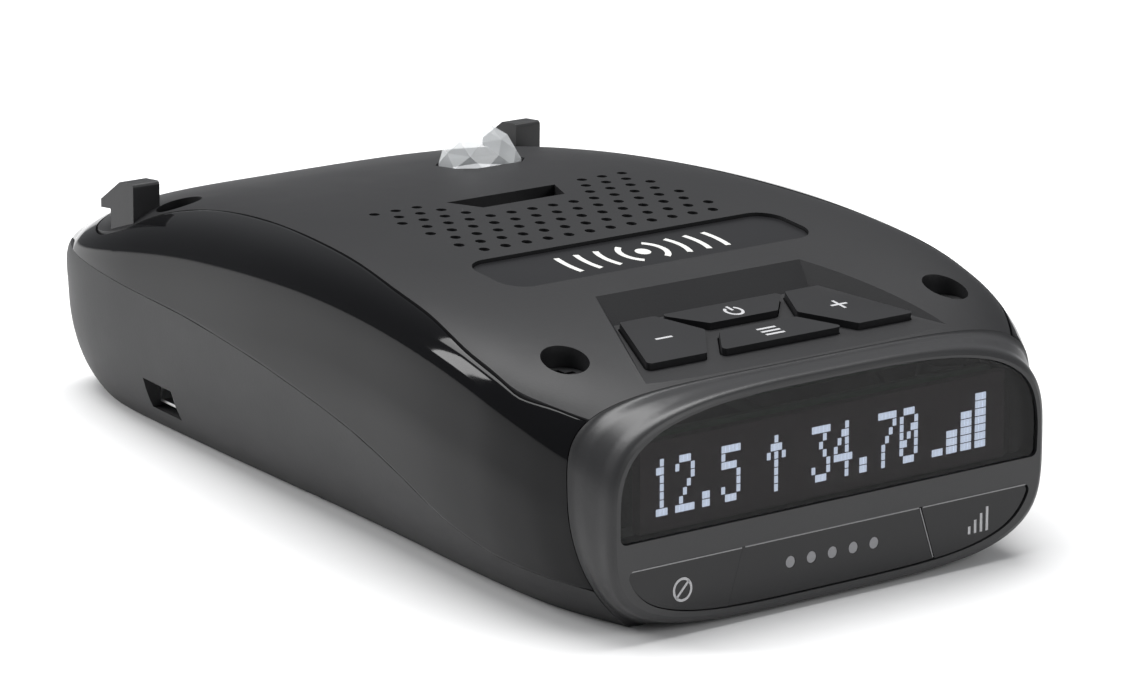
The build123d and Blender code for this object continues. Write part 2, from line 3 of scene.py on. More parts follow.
import bmesh
import bpy
import numpy as np
from mathutils import Matrix


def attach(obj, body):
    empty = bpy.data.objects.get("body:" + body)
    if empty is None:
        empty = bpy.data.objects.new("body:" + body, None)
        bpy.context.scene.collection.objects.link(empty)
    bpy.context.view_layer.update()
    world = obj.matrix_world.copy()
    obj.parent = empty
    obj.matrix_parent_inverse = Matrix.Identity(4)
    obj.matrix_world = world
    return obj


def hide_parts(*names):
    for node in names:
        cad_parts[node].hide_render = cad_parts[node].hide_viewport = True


bl_info = {
    "name": "Windscreen radar detector",
    "version": (1, 0, 0),
    "blender": (4, 5, 0),
    "location": "View3D > Sidebar > Detector",
    "description": "Builds the finished surfaces, marks, lights and camera of a windscreen radar detector",
    "category": "Object",
}

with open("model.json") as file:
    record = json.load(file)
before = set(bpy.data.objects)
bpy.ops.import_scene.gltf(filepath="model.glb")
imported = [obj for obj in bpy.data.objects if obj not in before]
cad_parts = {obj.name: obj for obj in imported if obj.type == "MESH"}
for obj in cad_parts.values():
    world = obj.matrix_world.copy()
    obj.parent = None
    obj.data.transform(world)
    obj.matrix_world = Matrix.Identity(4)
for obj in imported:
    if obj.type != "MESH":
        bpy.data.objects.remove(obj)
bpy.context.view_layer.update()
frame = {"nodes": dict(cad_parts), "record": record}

MM = 0.001
LENGTH = 122.7                      # mm, foot of the display face to the end wall
LEAN = np.radians(4.4)              # the display face leans back
KEY_SLOPE = np.arctan(0.092)        # the key tops slope down towards the display
KEY_ORIGIN = (11.56, 30.27)         # distance from the front and height of the key plane's origin
BEZEL_PLANE = 5.6                   # depth of the shells' front edge behind the face
BADGE_DROP = 0.45                   # the badge plate lies this far under the roof's skin
BADGE_S = 39.7                      # distance of the badge's middle from the front
WINDOW_BACK = 1.52, 1.60            # depths of a lit dot's front and back, just behind the window
BUTTON_DEPTH, STRIP_DEPTH = 0.25, 0.33      # depths of the buttons' and the strip's faces
CRYSTAL_MIDDLE = 12.0, 88.5         # across and from the front
PRINT_LIFT, PRINT_THICK = 0.004, 0.03       # a printed mark's gap and thickness

# Housing form: (distance from the front, value), all in millimetres.
HALF_WIDTH = ((5, 36.5), (12, 39.7), (20, 41.4), (30, 41.9), (45, 41.4), (65, 40.3), (90, 38.1), (120, 35.4))
WIDEST_Z = ((5, 16.3), (20, 20.3), (50, 23.5), (80, 20.9), (120, 18.6))
UPPER_SIDE_POWER = ((5, 4.3), (16, 6.8), (30, 8.9), (80, 7.1), (120, 4.0))
UPPER_ROOF_POWER = ((5, 4.1), (16, 5.4), (30, 6.2), (80, 4.2), (120, 1.7))
LOWER_SIDE_POWER = ((5, 3.3), (20, 4.4), (60, 4.75), (120, 5.5))
LOWER_BELLY_POWER = ((5, 1.85), (20, 1.6), (60, 1.75), (120, 3.0))
CASE_SEAM = ((-6, 5.3), (5, 5.4), (20, 6.2), (28, 8.3), (36, 12.1), (46, 15.4), (58, 17.6), (70, 19.0),
             (85, 19.6), (100, 19.4), (130, 19.5))
ROOF_GROOVE = ((-6, 24), (5, 32.2), (10, 36), (16, 39), (24, 39.5), (34, 38.2), (42, 37.1), (52, 35.2),
               (64, 33.3), (76, 31.6), (88, 30.8), (96, 31.9), (104, 34.6))
ROOF_CORNER = ((34.8, 104.0), (34.5, 109.0), (32.7, 113.6), (28.5, 116.6), (24.0, 117.2))
SEAM_GAP, GROOVE_GAP = 0.05, 0.2
GROOVE_END = 117.2                  # the gloss shell wraps over the roof behind here
TAIL_TOP = (93.7, 2.7, 22.7)        # start, power and end height of the roof's fall at the rear
TAIL_BELLY = (101.5, 3.4, 13.9)     # the same for the belly's rise
TAIL_SIDE = (98.2, 2.4, 0.82)       # the same for the sides, with the end width as a share
ROOF_Z, ROOF_S, ROOF_CURVE = 35.1, 53.8, 0.00212        # peak height, its station, fall per mm squared
BROW_DROP, BROW_S, BROW_RUN, BROW_POWER = 1.8, 35, 28, 2.2      # extra fall towards the display
BELLY_Z = -5.1                      # where the belly curve would bottom out, below the flat base

# Digits and the arrow of the display, five dots wide and seven high: one number per row from the top, whose
# bits are its dots from the left.
DOT_SIGNS = {
    "0": (14, 17, 19, 21, 25, 17, 14), "1": (4, 12, 4, 4, 4, 4, 14), "2": (14, 17, 1, 2, 4, 8, 31),
    "3": (31, 2, 4, 2, 1, 17, 14), "4": (2, 6, 10, 18, 31, 2, 2), "5": (31, 16, 30, 1, 1, 17, 14),
    "7": (31, 1, 2, 4, 8, 8, 8), ".": (0, 0, 0, 0, 0, 12, 12), " ": (0, 0, 0, 0, 0, 0, 0),
    "^": (4, 14, 21, 4, 4, 4, 4),
}


def along(table, s):
    """Smooth curve through a table's stations that never overshoots them: cubic pieces whose end slopes are
    harmonic means of the neighbouring slopes."""
    xs, ys = (np.array(column, float) for column in zip(*table))
    s = np.clip(s, xs[0], xs[-1])
    step, slope = np.diff(xs), np.diff(ys) / np.diff(xs)
    same = slope[:-1] * slope[1:] > 0
    w0, w1 = 2 * step[1:] + step[:-1], step[1:] + 2 * step[:-1]
    safe = np.where(same, slope[:-1], 1.0), np.where(same, slope[1:], 1.0)
    inner = np.where(same, (w0 + w1) / (w0 / safe[0] + w1 / safe[1]), 0.0)
    tangent = np.concatenate([slope[:1], inner, slope[-1:]])
    i = np.clip(np.searchsorted(xs, s, side="right") - 1, 0, len(step) - 1)
    h = step[i]
    t = (s - xs[i]) / h
    return ((1 + 2 * t) * (1 - t) ** 2 * ys[i] + t * (1 - t) ** 2 * h * tangent[i]
            + t * t * (3 - 2 * t) * ys[i + 1] - t * t * (1 - t) * h * tangent[i + 1])


def closing(s, start, power):
    """1 up to the start, then a rounded fall to 0 at the housing's end: (1 - t^p)^(1/p)."""
    t = np.clip((s - start) / (LENGTH - start), 0, 1)
    return (1 - t ** power) ** (1 / power)


def section(s):
    """Half-width, roof height, belly height and widest height of the housing at stations s."""
    roof = ROOF_Z - ROOF_CURVE * (s - ROOF_S) ** 2
    roof = roof - BROW_DROP * (np.maximum(BROW_S - s, 0) / BROW_RUN) ** BROW_POWER
    roof = TAIL_TOP[2] + (roof - TAIL_TOP[2]) * closing(s, *TAIL_TOP[:2])
    belly = BELLY_Z + (TAIL_BELLY[2] - BELLY_Z) * (1 - closing(s, *TAIL_BELLY[:2]))
    share = TAIL_SIDE[2] + (1 - TAIL_SIDE[2]) * closing(s, *TAIL_SIDE[:2])
    return along(HALF_WIDTH, s) * share, roof, belly, along(WIDEST_Z, s)


def skin(s, turn):
    """Point of the housing's skin at station s and turn: 0 at the crown, a quarter turn at the widest
    height, and half a turn at the belly. Each quarter is a powered ellipse, x = w sin^(2/a),
    z = h cos^(2/b)."""
    half, roof, belly, widest = section(s)
    up = turn <= np.pi / 2
    a = np.where(up, turn, np.pi - turn)
    sin, cos = np.clip(np.sin(a), 0, 1), np.clip(np.cos(a), 0, 1)
    side = np.where(up, along(UPPER_SIDE_POWER, s), along(LOWER_SIDE_POWER, s))
    rise = np.where(up, along(UPPER_ROOF_POWER, s), along(LOWER_BELLY_POWER, s))
    x = half * sin ** (2 / side)
    z = widest + np.where(up, roof - widest, belly - widest) * cos ** (2 / rise)
    return x, z


def turn_at_x(s, x):
    """Turn at which the upper quarter reaches half-width x."""
    half = section(s)[0]
    return np.arcsin(np.clip(x / half, 0, 1) ** (along(UPPER_SIDE_POWER, s) / 2))


def turn_at_z(s, z):
    """Turn at which the skin comes down to height z."""
    _, roof, belly, widest = section(s)
    rise = np.clip((z - widest) / (roof - widest), 0, 1)
    fall = np.clip((widest - z) / (widest - belly), 0, 1)
    above = np.arccos(rise ** (along(UPPER_ROOF_POWER, s) / 2))
    below = np.pi - np.arccos(fall ** (along(LOWER_BELLY_POWER, s) / 2))
    return np.where(z > widest, above, below)


def roof_height(x, s):
    """Height of the roof's skin over a point of the plan."""
    return skin(s, turn_at_x(s, np.abs(x)))[1]


def row_place(points):
    """Millimetres from the face's foot, made metres in the shared frame."""
    return (np.asarray(points, float) - (0, LENGTH / 2, 0)) * MM


def on_face(x, up, depth):
    """Points given across the face, up along it and behind it, in millimetres from the face's foot."""
    s = depth * np.cos(LEAN) + up * np.sin(LEAN)
    z = up * np.cos(LEAN) - depth * np.sin(LEAN)
    return np.stack([x, s, z], -1)


def on_button(x, up, height):
    """Points over the front buttons' faces."""
    return on_face(x, up, BUTTON_DEPTH - height)


def on_strip(x, up, height):
    """Points over the front strip's face."""
    return on_face(x, up, STRIP_DEPTH - height)


def on_keys(x, back, height):
    """Points given across the key tops, back along them and above them."""
    s = KEY_ORIGIN[0] + back * np.cos(KEY_SLOPE) - height * np.sin(KEY_SLOPE)
    z = KEY_ORIGIN[1] + back * np.sin(KEY_SLOPE) + height * np.cos(KEY_SLOPE)
    return np.stack([x, s, z], -1)


def on_badge(x, s, height):
    """Points over the roof's badge plate, which lies a little under the skin."""
    return np.stack([x, s, roof_height(x, s) - BADGE_DROP + height], -1)


def grid_faces(rows, columns, wrap=False):
    """Quads of a grid of points, row by row; wrap joins the last column to the first."""
    r, c = np.meshgrid(np.arange(rows - 1), np.arange(columns if wrap else columns - 1), indexing="ij")
    d = (c + 1) % columns
    low, high = r * columns, (r + 1) * columns
    return np.stack([low + c, low + d, high + d, high + c], -1).reshape(-1, 4)


def ribbon(path, width, closed=False):
    """A flat stroke: a rectangle swept along a plan path. Returns (x, y, height share) points and quads."""
    path = np.asarray(path, float)
    ahead = (np.roll(path, -1, 0) - np.roll(path, 1, 0)) if closed else np.gradient(path, axis=0)
    ahead /= np.linalg.norm(ahead, axis=1)[:, None]
    side = np.stack([-ahead[:, 1], ahead[:, 0]], 1) * width / 2
    ring = np.stack([path + side, path - side, path - side, path + side], 1)
    points = np.concatenate([ring, np.broadcast_to([[[1.0], [1.0], [0.0], [0.0]]], (len(path), 4, 1))], 2)
    faces = [list(q) for q in grid_faces(len(path), 4, wrap=True)]
    last = (len(path) - 1) * 4
    if closed:
        faces += [[last + k, last + (k + 1) % 4, (k + 1) % 4, k] for k in range(4)]
    else:
        faces += [[3, 2, 1, 0], [last, last + 1, last + 2, last + 3]]
    return points.reshape(-1, 3), faces


def bar(*points):
    """A straight stroke through a few (x, y) points."""
    return np.array(points, float)


def strokes(paths, place, lift=PRINT_LIFT, thick=PRINT_THICK):
    """Several ribbons put on a surface by place(x, y, height)."""
    verts, faces = [], []
    for path, width, closed in paths:
        points, quads = ribbon(path, width, closed)
        start = sum(len(v) for v in verts)
        verts.append(place(points[:, 0], points[:, 1], lift + thick * points[:, 2]))
        faces += [[start + k for k in q] for q in quads]
    return np.concatenate(verts), faces


def arc(cx, cy, radius, start, end, count=25):
    """Points of a circular arc in a plan, angles in degrees."""
    a = np.radians(np.linspace(start, end, count))
    return np.stack([cx + radius * np.cos(a), cy + radius * np.sin(a)], 1)


def piece(name, verts, faces, material, body="body", smooth=False):
    """Makes one mesh piece in the shared frame and lets it ride on its body."""
    mesh = bpy.data.meshes.new(name)
    mesh.from_pydata(row_place(verts).tolist(), [], [list(map(int, q)) for q in faces])
    mesh.validate()
    mesh.polygons.foreach_set("use_smooth", [smooth] * len(mesh.polygons))
    mesh.materials.append(material)
    obj = bpy.data.objects.new(name, mesh)
    bpy.context.scene.collection.objects.link(obj)
    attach(obj, body)
    return obj


def outward(obj, join=1e-7, crown_up=False):
    """Joins points that coincide, drops stray ones and turns the faces outwards. An open shell has no
    inside, so crown_up turns it by its highest face."""
    bm = bmesh.new()
    bm.from_mesh(obj.data)
    bmesh.ops.remove_doubles(bm, verts=bm.verts, dist=join)
    bmesh.ops.delete(bm, geom=[v for v in bm.verts if not v.link_faces], context="VERTS")
    bmesh.ops.recalc_face_normals(bm, faces=bm.faces)
    if crown_up and max(bm.faces, key=lambda f: f.calc_center_median().z).normal.z < 0:
        bmesh.ops.reverse_faces(bm, faces=bm.faces)
    bm.to_mesh(obj.data)
    bm.free()


def finish_of(name, colour, rough, grain_mm=0.3, bump_mm=0.01, rough_by=0.05, shade_by=0.08,
              **sockets):
    """A procedural finish on Object coordinates: fine grain shifts the colour and lifts the surface, and
    broad patches shift the roughness."""
    mat = bpy.data.materials.new(name)
    mat.use_nodes = True
    nodes, links = mat.node_tree.nodes, mat.node_tree.links
    shader = nodes["Principled BSDF"]
    where = nodes.new("ShaderNodeTexCoord")
    grain = nodes.new("ShaderNodeTexNoise")
    grain.inputs["Scale"].default_value = 1 / (grain_mm * MM * 2)
    grain.inputs["Detail"].default_value = 4
    links.new(where.outputs["Object"], grain.inputs["Vector"])
    patch = nodes.new("ShaderNodeTexNoise")
    patch.inputs["Scale"].default_value = 90
    links.new(where.outputs["Object"], patch.inputs["Vector"])
    tint = nodes.new("ShaderNodeMix")
    tint.data_type = "RGBA"
    tint.inputs[6].default_value = (*[c * (1 - shade_by) for c in colour], 1)
    tint.inputs[7].default_value = (*[min(c * (1 + shade_by), 1) for c in colour], 1)
    links.new(grain.outputs["Fac"], tint.inputs[0])
    links.new(tint.outputs[2], shader.inputs["Base Color"])
    sheen = nodes.new("ShaderNodeMapRange")
    sheen.inputs["To Min"].default_value = max(rough - rough_by, 0.02)
    sheen.inputs["To Max"].default_value = min(rough + rough_by, 1)
    links.new(patch.outputs["Fac"], sheen.inputs["Value"])
    links.new(sheen.outputs["Result"], shader.inputs["Roughness"])
    bump = nodes.new("ShaderNodeBump")
    bump.inputs["Strength"].default_value = 0.6
    bump.inputs["Distance"].default_value = bump_mm * MM
    links.new(grain.outputs["Fac"], bump.inputs["Height"])
    links.new(bump.outputs["Normal"], shader.inputs["Normal"])
    for socket, value in sockets.items():
        shader.inputs[socket.replace("_", " ")].default_value = value
    return mat


def finishes(looks):
    """Every finish of the detector, by the record's slot names."""
    shell, roof, case = looks.shell, looks.roof, looks.case
    return {
        "matte_case": finish_of("matte case", tuple(case), 0.5, 0.25, 0.02, Specular_IOR_Level=0.3),
        "gloss_shell": finish_of("piano black shell", tuple(shell), 0.07, 4.0, 0.004, 0.02,
                                 Specular_IOR_Level=0.2),
        "roof_plastic": finish_of("grained roof", tuple(roof), 0.5, 0.16, 0.02, Specular_IOR_Level=0.3),
        "bezel_plastic": finish_of("satin bezel", (0.022, 0.022, 0.023), 0.36, 0.2, 0.008,
                                   Specular_IOR_Level=0.4),
        "dark_window": finish_of("tinted window", (0.002, 0.002, 0.002), 0.04, 6.0, 0.0003, 0.01,
                                 Alpha=0.5, Specular_IOR_Level=0.3),
        "display_glass": finish_of("display panel", (0.050, 0.026, 0.036), 0.4, 3.0, 0.0005),
        "circuit_board": finish_of("board green", (0.02, 0.10, 0.04), 0.35, 0.6, 0.01),
        "button_gloss": finish_of("gloss button", (0.006, 0.006, 0.007), 0.12, 3.0, 0.003, 0.03,
                                  Specular_IOR_Level=0.3),
        "lamp_plastic": finish_of("frosted lamp", (0.22, 0.22, 0.23), 0.35, 0.3, 0.01),
        "key_plastic": finish_of("satin key", (0.011, 0.011, 0.012), 0.36, 0.2, 0.006,
                                 Specular_IOR_Level=0.35),
        "soft_rubber": finish_of("soft rubber", (0.016, 0.016, 0.017), 0.42, 0.4, 0.02,
                                 Specular_IOR_Level=0.4),
        "white_rubber": finish_of("white rubber", (0.6, 0.6, 0.58), 0.6, 0.4, 0.02),
        "switch_plastic": finish_of("switch plastic", (0.03, 0.03, 0.03), 0.5, 0.3, 0.01),
        "plate_gloss": finish_of("badge plate", (0.008, 0.008, 0.009), 0.3, 0.4, 0.004,
                                 Specular_IOR_Level=0.3),
        "black_cloth": finish_of("speaker cloth", (0.006, 0.006, 0.006), 0.9, 0.3, 0.05),
        "crystal": finish_of("clear crystal", (0.80, 0.82, 0.83), 0.03, 5.0, 0.0005, 0.01,
                             Alpha=0.42, Specular_IOR_Level=0.9),
        "tin_plate": finish_of("tin plate", (0.6, 0.6, 0.6), 0.3, 0.5, 0.005, Metallic=1.0),
        "black_steel": finish_of("black screw", (0.12, 0.12, 0.125), 0.32, 0.4, 0.006, Metallic=1.0),
        "cone_paper": finish_of("cone paper", (0.06, 0.06, 0.06), 0.8, 0.3, 0.04),
        "magnet_steel": finish_of("magnet steel", (0.45, 0.45, 0.46), 0.35, 0.5, 0.01, Metallic=1.0),
        "cast_alloy": finish_of("cast alloy", (0.6, 0.6, 0.61), 0.45, 0.4, 0.02, Metallic=1.0),
        "chip_epoxy": finish_of("chip epoxy", (0.03, 0.03, 0.03), 0.55, 0.3, 0.01),
        "flat_cable": finish_of("flat cable", (0.5, 0.25, 0.06), 0.35, 0.8, 0.005),
        "label_film": finish_of("blank label", (0.5, 0.5, 0.51), 0.45, 0.5, 0.004),
        "reflector": finish_of("pale reflector", (0.7, 0.71, 0.72), 0.3, 0.8, 0.004),
        # painted highlight: a pale grey standing in for light caught along the front strip's and buttons' top
        # edges
        "edge_light": finish_of("painted edge highlight", (0.20, 0.20, 0.205), 0.2, 0.5, 0.002, 0.02),
        "print": finish_of("pale print", (0.42, 0.42, 0.43), 0.5, 0.2, 0.004),
        "print_white": finish_of("badge print", (0.62, 0.62, 0.60), 0.4, 0.2, 0.004),
        "lit_dot": finish_of("lit dot", (0.75, 0.82, 0.95), 0.5, 0.3, 0.002,
                             Emission_Color=(0.72, 0.82, 1.0, 1.0), Emission_Strength=looks.glow),
    }


made = {}       # every finish by name, filled by the first operator


class DetectorLooks(bpy.types.PropertyGroup):
    """Colours and glow of the detector."""

    shell: bpy.props.FloatVectorProperty(
        name="Shell", description="Colour of the gloss shell", subtype="COLOR",
        default=(0.003, 0.003, 0.0035), min=0, max=1)
    roof: bpy.props.FloatVectorProperty(
        name="Roof", description="Colour of the roof panel", subtype="COLOR",
        default=(0.011, 0.011, 0.012), min=0, max=1)
    case: bpy.props.FloatVectorProperty(
        name="Case", description="Colour of the lower case", subtype="COLOR",
        default=(0.024, 0.024, 0.025), min=0, max=1)
    glow: bpy.props.FloatProperty(
        name="Glow", description="Brightness of the lit dots", default=2.2, min=0)


class DetectorSizes(bpy.types.PropertyGroup):
    """Sizes of the printed marks and the shell's edges."""

    mark_line: bpy.props.FloatProperty(
        name="Mark line", description="Width of the printed lines", unit="LENGTH", default=0.0004)
    shell_wall: bpy.props.FloatProperty(
        name="Shell wall", description="Thickness of the gloss shell", unit="LENGTH", default=0.0015)
    shell_edge: bpy.props.FloatProperty(
        name="Shell edge", description="Rounding of the gloss shell's edges", unit="LENGTH",
        default=0.00018)


class DETECTOR_OT_finishes(bpy.types.Operator):
    """Gives every moulded, cast and pressed part its finish"""

    bl_idname = "detector.finishes"
    bl_label = "Part finishes"

    def execute(self, context):
        made.update(finishes(context.scene.detector_looks))
        slots = {row["node"]: row["material_slot"] for row in frame["record"]["subparts"]}
        for node, obj in frame["nodes"].items():
            for place in obj.material_slots:
                place.material = made[slots[node]]
        return {"FINISHED"}


def groove_x(s):
    """Half-width of the gloss shell's inner edge: the roof groove, then its rounded rear corner."""
    corner = np.array(ROOF_CORNER)
    run = np.concatenate([[0], np.cumsum(np.linalg.norm(np.diff(corner, axis=0), axis=1))])
    t = np.linspace(0, run[-1], 400)
    xs = along(tuple(zip(run, corner[:, 0])), t)
    ss = along(tuple(zip(run, corner[:, 1])), t)
    return np.where(s < ROOF_CORNER[0][1], along(ROOF_GROOVE, s) + GROOVE_GAP, np.interp(s, ss, xs))


def shell_span(s, behind_roof):
    """Turns at which the gloss shell's flank starts and ends: the groove, or its rear corner's line
    behind the roof panel, and the case seam."""
    return (turn_at_x(s, ROOF_CORNER[-1][0] if behind_roof else groove_x(s)),
            turn_at_z(s, along(CASE_SEAM, s) + SEAM_GAP))


def shell_half():
    """One half of the gloss shell as a grid. Rows are stations from front to tail and then down the end wall.
    Columns run from the crown (only behind the roof panel) or from the groove, over the shoulder, to the case
    seam, spread evenly by length. The front rows lean with the face, less and less up to a set station."""
    lean_end, middle = 30, 18           # station where the lean has gone, and the height it turns about
    inner, outer = 24, 56               # columns over the crown and over the flank
    first = BEZEL_PLANE / np.cos(LEAN) + middle * np.tan(LEAN)
    angle = np.linspace(0.86, 1.0, 26) * np.pi / 2
    tail = TAIL_TOP[0] + (LENGTH - TAIL_TOP[0]) * np.sin(angle) ** (2 / TAIL_TOP[1])
    rows = np.concatenate([np.linspace(first, lean_end, 26), np.linspace(31.5, 104, 50),
                           np.linspace(105, 114, 12), np.linspace(114.5, GROOVE_END, 14),
                           tail[tail > GROOVE_END + 0.3]])
    crown_x = np.linspace(0, ROOF_CORNER[-1][0], inner, endpoint=False)
    share = np.linspace(0, 1, 500)
    verts = []
    for s in rows:
        behind_roof = s >= GROOVE_END
        start, end = shell_span(s, behind_roof)
        x, z = skin(s, start + (end - start) * share)
        run = np.concatenate([[0], np.cumsum(np.hypot(np.diff(x), np.diff(z)))])
        even = np.interp(np.linspace(0, run[-1], outer), run, share)
        lean = (1 - np.clip((s - first) / (lean_end - first), 0, 1)) * np.tan(LEAN)
        here = s + lean * (np.interp(even, share, z) - middle)
        start, end = shell_span(here, behind_roof)
        x, z = skin(here, start + (end - start) * even)
        crown = skin(s, turn_at_x(s, crown_x))
        verts.append(np.stack([np.r_[crown[0], x], np.r_[np.full(inner, s), here], np.r_[crown[1], z]], -1))
    bottom = along(CASE_SEAM, LENGTH) + SEAM_GAP
    for share_down in (0.25, 0.5, 0.75, 1.0):
        low = verts[len(rows) - 1].copy()
        low[:, 2] += (bottom - low[:, 2]) * share_down
        low[:, 1] = LENGTH
        verts.append(low)
    grid = np.array(verts)
    faces = grid_faces(len(grid), inner + outer)
    row, column = faces[:, 0] // (inner + outer), faces[:, 0] % (inner + outer)
    kept = (column >= inner) | (row >= int(np.sum(rows < GROOVE_END - 1e-6)))
    return grid.reshape(-1, 3), faces[kept]


class DETECTOR_OT_gloss_shell(bpy.types.Operator):
    """Builds the piano black shell round the roof panel"""

    bl_idname = "detector.gloss_shell"
    bl_label = "Gloss shell"

    def execute(self, context):
        sizes = context.scene.detector_sizes
        points, faces = shell_half()
        both = np.concatenate([points, points * (-1, 1, 1)])
        quads = np.concatenate([faces, faces[:, ::-1] + len(points)])
        obj = piece("piano_shell", both, quads, made["gloss_shell"], smooth=True)
        outward(obj, join=2e-6, crown_up=True)
        wall = obj.modifiers.new("wall", "SOLIDIFY")
        wall.thickness = sizes.shell_wall
        wall.offset = -1
        edge = obj.modifiers.new("edge", "BEVEL")
        edge.width = sizes.shell_edge
        edge.segments = 2
        edge.limit_method = "ANGLE"
        edge.angle_limit = np.radians(50)
        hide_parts("upper_shell")
        return {"FINISHED"}


class DETECTOR_OT_key_marks(bpy.types.Operator):
    """Prints a plain sign on each of the four roof keys"""

    bl_idname = "detector.key_marks"
    bl_label = "Key marks"

    def execute(self, context):
        line = context.scene.detector_sizes.mark_line / MM
        left, right, flat = (-14.2, 6.6), (14.2, 6.6), bar((-1.3, 0), (0, 0), (1.3, 0))
        minus = [(flat + left, line, False)]
        plus = [(flat + right, line, False)]
        plus += [(bar((0, y), (0, middle), (0, top)) + right, line, False)
                 for y, middle, top in ((0.2, 0.7, 1.3), (-1.3, -0.7, -0.2))]
        power = [(arc(0, 10.2, 1.15, 125, 415), line, False),
                 (bar((0, 10.4), (0, 11.0), (0, 11.7)), line, False)]
        menu = [(bar((-1.5, y), (0, y), (1.5, y)), line, False) for y in (2.2, 3.1, 4.0)]
        for body, paths in (("volume_down_key", minus), ("volume_up_key", plus), ("power_key", power),
                            ("menu_key", menu)):
            verts, faces = strokes(paths, on_keys)
            outward(piece(body + "_mark", verts, faces, made["print"], body))
        return {"FINISHED"}


class DETECTOR_OT_front_marks(bpy.types.Operator):
    """Prints a plain sign on each of the two front buttons"""

    bl_idname = "detector.front_marks"
    bl_label = "Front button marks"

    def execute(self, context):
        line = context.scene.detector_sizes.mark_line / MM * 0.8
        crossed = [(arc(-24.0, 5.6, 1.35, 0, 350, 36), line, True),
                   (bar((-25.0, 4.6), (-24.0, 5.6), (-23.0, 6.6)), line, False)]
        foot = 4.3
        bars = [(bar((x, foot), (x, foot + h / 2), (x, foot + h)), line * 1.3, False)
                for x, h in ((22.6, 1.0), (23.6, 1.7), (24.6, 2.4), (25.6, 3.1))]
        for body, paths in (("mute_button", crossed), ("city_button", bars)):
            verts, faces = strokes(paths, on_button)
            outward(piece(body + "_mark", verts, faces, made["print"], body))
        return {"FINISHED"}


class DETECTOR_OT_display(bpy.types.Operator):
    """Lights the dots of the display: digits, an arrow and rising bars"""

    bl_idname = "detector.display"
    bl_label = "Display dots"

    def execute(self, context):
        across, down, wide, high = 0.60, 1.02, 0.27, 0.44
        left, top = -27.4, 21.4
        verts, faces = [], []

        def dot(column, row):
            x, up = left + column * across, top - row * down
            around = np.array([(-wide, -high), (wide, -high), (wide, high), (-wide, high)])
            start = len(verts) * 8
            ring = [on_face(x + around[:, 0], up + around[:, 1], np.full(4, d)) for d in WINDOW_BACK]
            verts.append(np.concatenate(ring))
            for quad in ((0, 1, 2, 3), (7, 6, 5, 4), (0, 4, 5, 1), (1, 5, 6, 2), (2, 6, 7, 3), (3, 7, 4, 0)):
                faces.append([start + k for k in quad])
        for k, sign in enumerate("12.5 ^ 34.70"):
            for row, bits in enumerate(DOT_SIGNS[sign]):
                for column in range(5):
                    if bits >> (4 - column) & 1:
                        dot(6 * k + column, row)
        for k in range(4):
            for row in range(6 - 2 * k, 7):
                for column in range(3):
                    dot(75 + 4 * k + column, row)
        points = np.concatenate(verts)
        outward(piece("display_dots", points, faces, made["lit_dot"]))
        return {"FINISHED"}


class DETECTOR_OT_badge(bpy.types.Operator):
    """Prints a plain wave motif on the roof's badge plate"""

    bl_idname = "detector.badge"
    bl_label = "Badge motif"

    def execute(self, context):
        paths = []
        half_high, width = 2.6, 0.8
        for radius in (3.2, 6.2, 9.2, 12.2):
            reach = np.degrees(np.arcsin(min(half_high / radius, 0.9)))
            for start in (-reach, 180 - reach):
                paths.append((arc(0, BADGE_S, radius, start, start + 2 * reach), width, False))
        paths.append((arc(0, BADGE_S, 0.55, 0, 345, 24), 1.0, True))
        verts, faces = strokes(paths, on_badge, 0.006)
        outward(piece("badge_motif", verts, faces, made["print_white"]))
        return {"FINISHED"}


def facets(rings, lows):
    """Flat facets between matching rings of corners. A ring turned by half a corner from the last makes
    the band a row of triangles. A flat foot closes the first ring and a flat table the last."""
    count = len(rings[0])
    faces = [list(range(count))[::-1]]
    for k in range(len(rings) - 1):
        low, high = k * count, (k + 1) * count
        for c in range(count):
            d = (c + 1) % count
            if lows[k + 1] == lows[k]:
                faces.append([low + c, low + d, high + d, high + c])
            elif lows[k + 1] > lows[k]:
                faces += [[low + c, low + d, high + c], [low + d, high + d, high + c]]
            else:
                faces += [[low + c, high + d, high + c], [low + c, low + d, high + d]]
    faces.append([(len(rings) - 1) * count + c for c in range(count)])
    return np.concatenate(rings), faces


class DETECTOR_OT_crystal(bpy.types.Operator):
    """Cuts the clear crystal over the laser sensor and sets a pale reflector under it"""

    bl_idname = "detector.crystal"
    bl_label = "Crystal and reflector"

    def execute(self, context):
        # each ring: height, half width, half depth, slip sideways and back, turned by half a corner
        cut = ((30.6, 5.6, 4.1, 0, 0, 0), (32.6, 5.7, 4.2, 0, 0, 0), (34.4, 5.1, 3.8, -0.1, 0.1, 1),
               (36.1, 4.0, 3.0, -0.4, 0.2, 0), (37.5, 2.2, 1.6, -0.8, 0.4, 1))
        foot = ((30.0, 4.6, 3.3, 0, 0, 0), (31.2, 4.6, 3.3, 0, 0, 0))
        mid_x, mid_s = CRYSTAL_MIDDLE
        corner_reach = 1.08             # the corners of an octagon lie outside its flats
        for name, material, layers in (("crystal", "crystal", cut), ("crystal_reflector", "reflector", foot)):
            rings = []
            for z, wide, deep, slip_x, slip_s, turned in layers:
                a = np.radians(22.5 + 45 * (np.arange(8) + turned / 2))
                rings.append(np.stack([mid_x + slip_x + corner_reach * wide * np.cos(a),
                                       mid_s + slip_s + corner_reach * deep * np.sin(a),
                                       np.full(8, z)], -1))
            verts, faces = facets(rings, [layer[5] for layer in layers])
            obj = piece(name, verts, faces, made[material])
            outward(obj)
            if name == "crystal":
                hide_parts("laser_lens")
        return {"FINISHED"}


